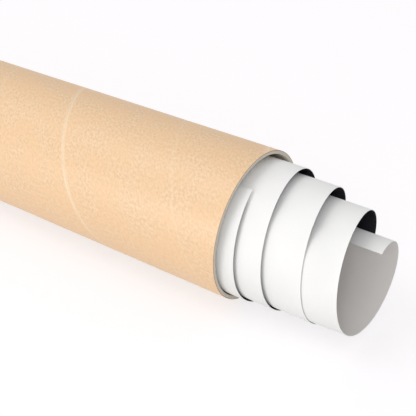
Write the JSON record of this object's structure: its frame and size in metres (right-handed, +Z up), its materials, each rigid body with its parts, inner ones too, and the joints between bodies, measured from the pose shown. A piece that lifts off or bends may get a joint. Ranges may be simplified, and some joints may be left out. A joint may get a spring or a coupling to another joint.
{
  "type": "cardboard mailing tube",
  "caption": "Spiral-wound cardboard mailing tube with a rolled sheet of paper standing out of its open mouth and a push-in end plug.",
  "frame": {"origin": "on the surface that the tube lies on, under the middle of the whole length, roll included", "axes": "+X along the tube's axis towards its open mouth, +Z up as the tube lies on its side"},
  "size_m": [0.6998, 0.08, 0.0799],
  "materials": {
    "kraft_board": "matte",
    "paper": "matte",
    "plug_plastic": "satin"
  },
  "bodies": {
    "tube_body": {"tube": "kraft_board", "paper_roll": "paper"},
    "plug": {"end_plug": "plug_plastic"}
  },
  "joints": [
    {"name": "plug_pull", "type": "slide", "parent": "tube_body", "child": "plug", "axis": [-1, 0, 0], "range_m": [0, 0.04]}
  ]
}
